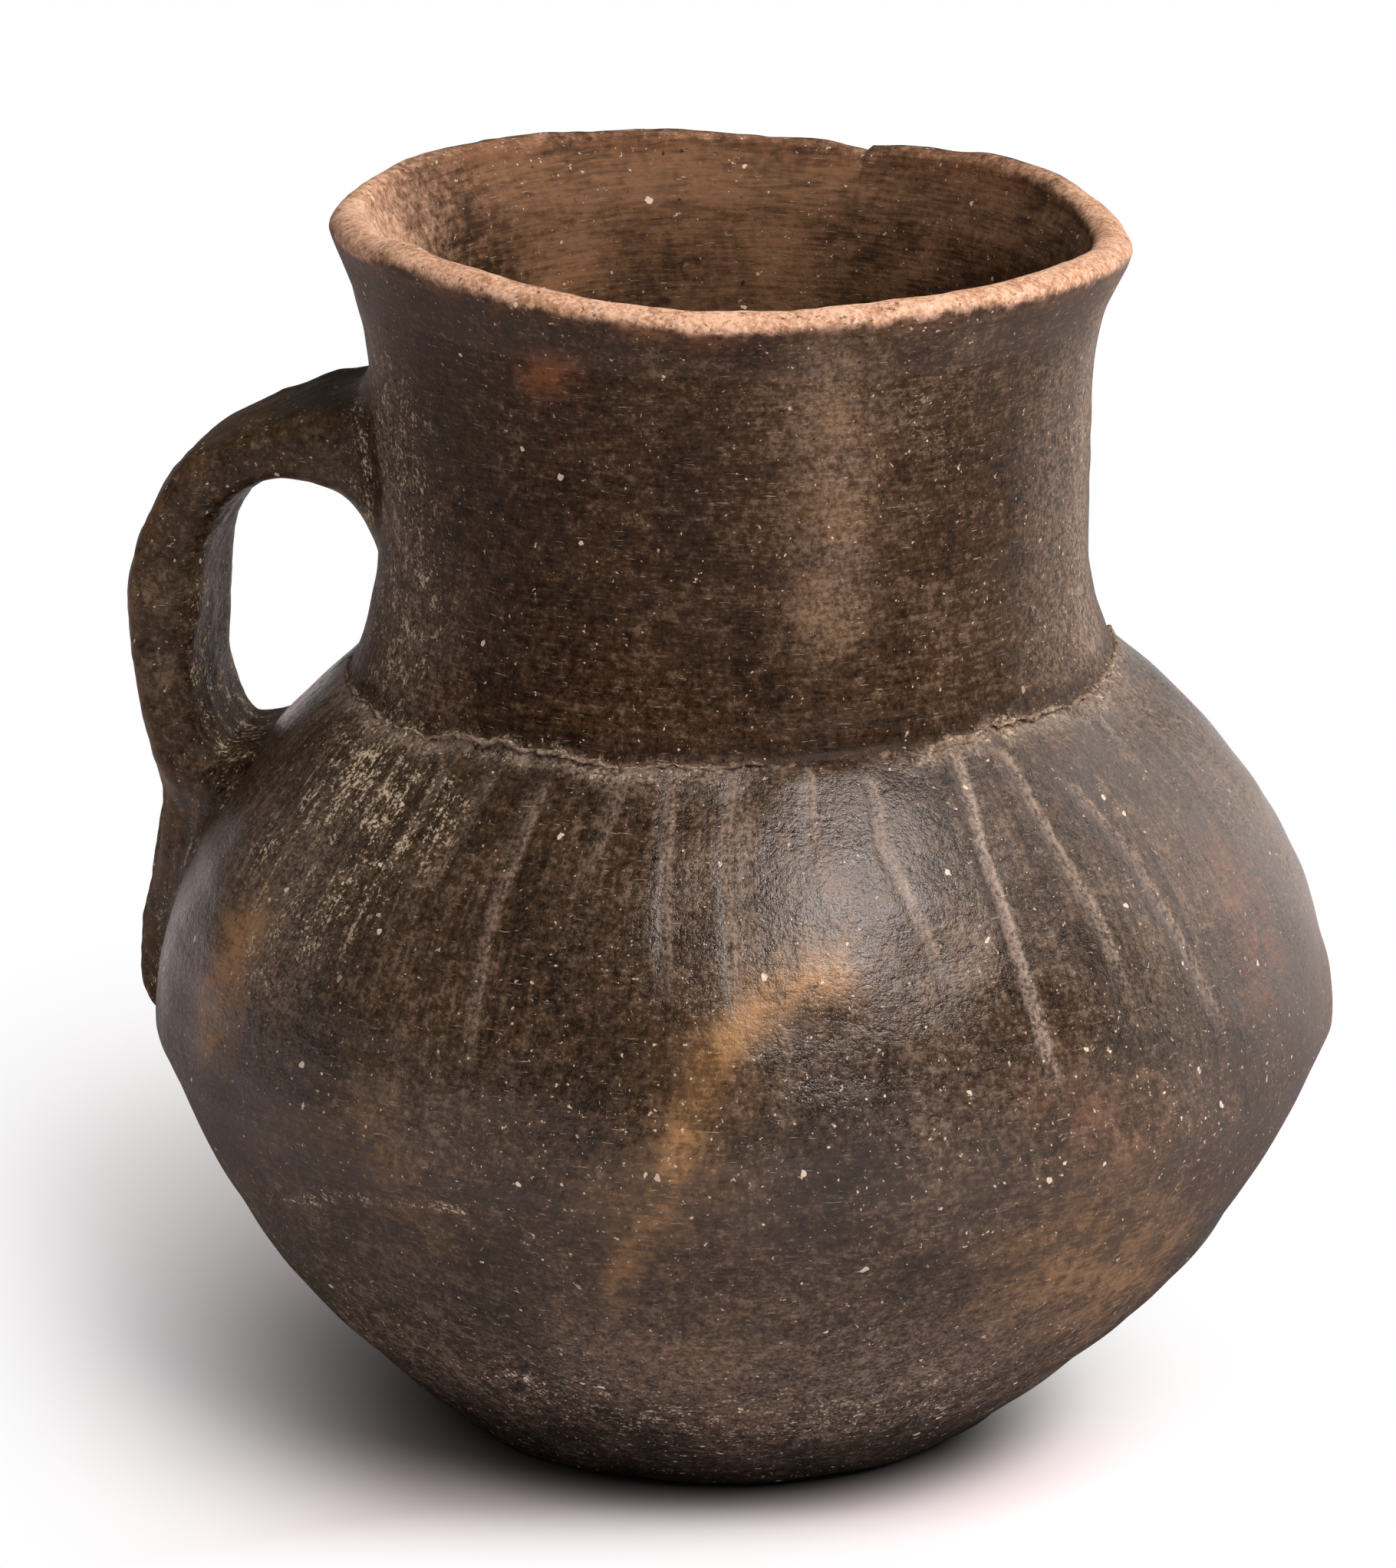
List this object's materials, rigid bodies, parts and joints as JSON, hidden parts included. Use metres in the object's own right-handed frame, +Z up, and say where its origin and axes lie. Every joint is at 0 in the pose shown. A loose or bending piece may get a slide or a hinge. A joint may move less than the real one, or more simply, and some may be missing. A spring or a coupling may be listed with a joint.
{
  "type": "jug",
  "caption": "Hand-built ceramic jug: wide tapering body on a small flat foot, tall open collar with an everted lip, and a strap handle from collar to belly.",
  "frame": {"origin": "centre of the flat foot, on the surface the jug stands on", "axes": "+Z up through the mouth; the handle is on the -X side, turned 12 degrees towards +Y; -Y faces the picture's viewer"},
  "size_m": [0.1623, 0.159, 0.1685],
  "materials": {
    "dark_clay": "burnished, smoke-darkened earthenware with lighter fire clouds",
    "worn_lip_clay": "matte, the dark surface worn off to tan clay",
    "handle_clay": "smoothed but hardly burnished earthenware, dusty in the hollows",
    "seam_clay": "rough, pale with dust"
  },
  "bodies": {
    "root": {"base_pad": "dark_clay", "lower_wall": "dark_clay", "shoulder_wall": "dark_clay", "collar": "dark_clay", "lip": "worn_lip_clay", "seam_coil": "seam_clay", "handle_root": "handle_clay", "handle_strap": "handle_clay", "handle_tail": "handle_clay"}
  },
  "joints": []
}
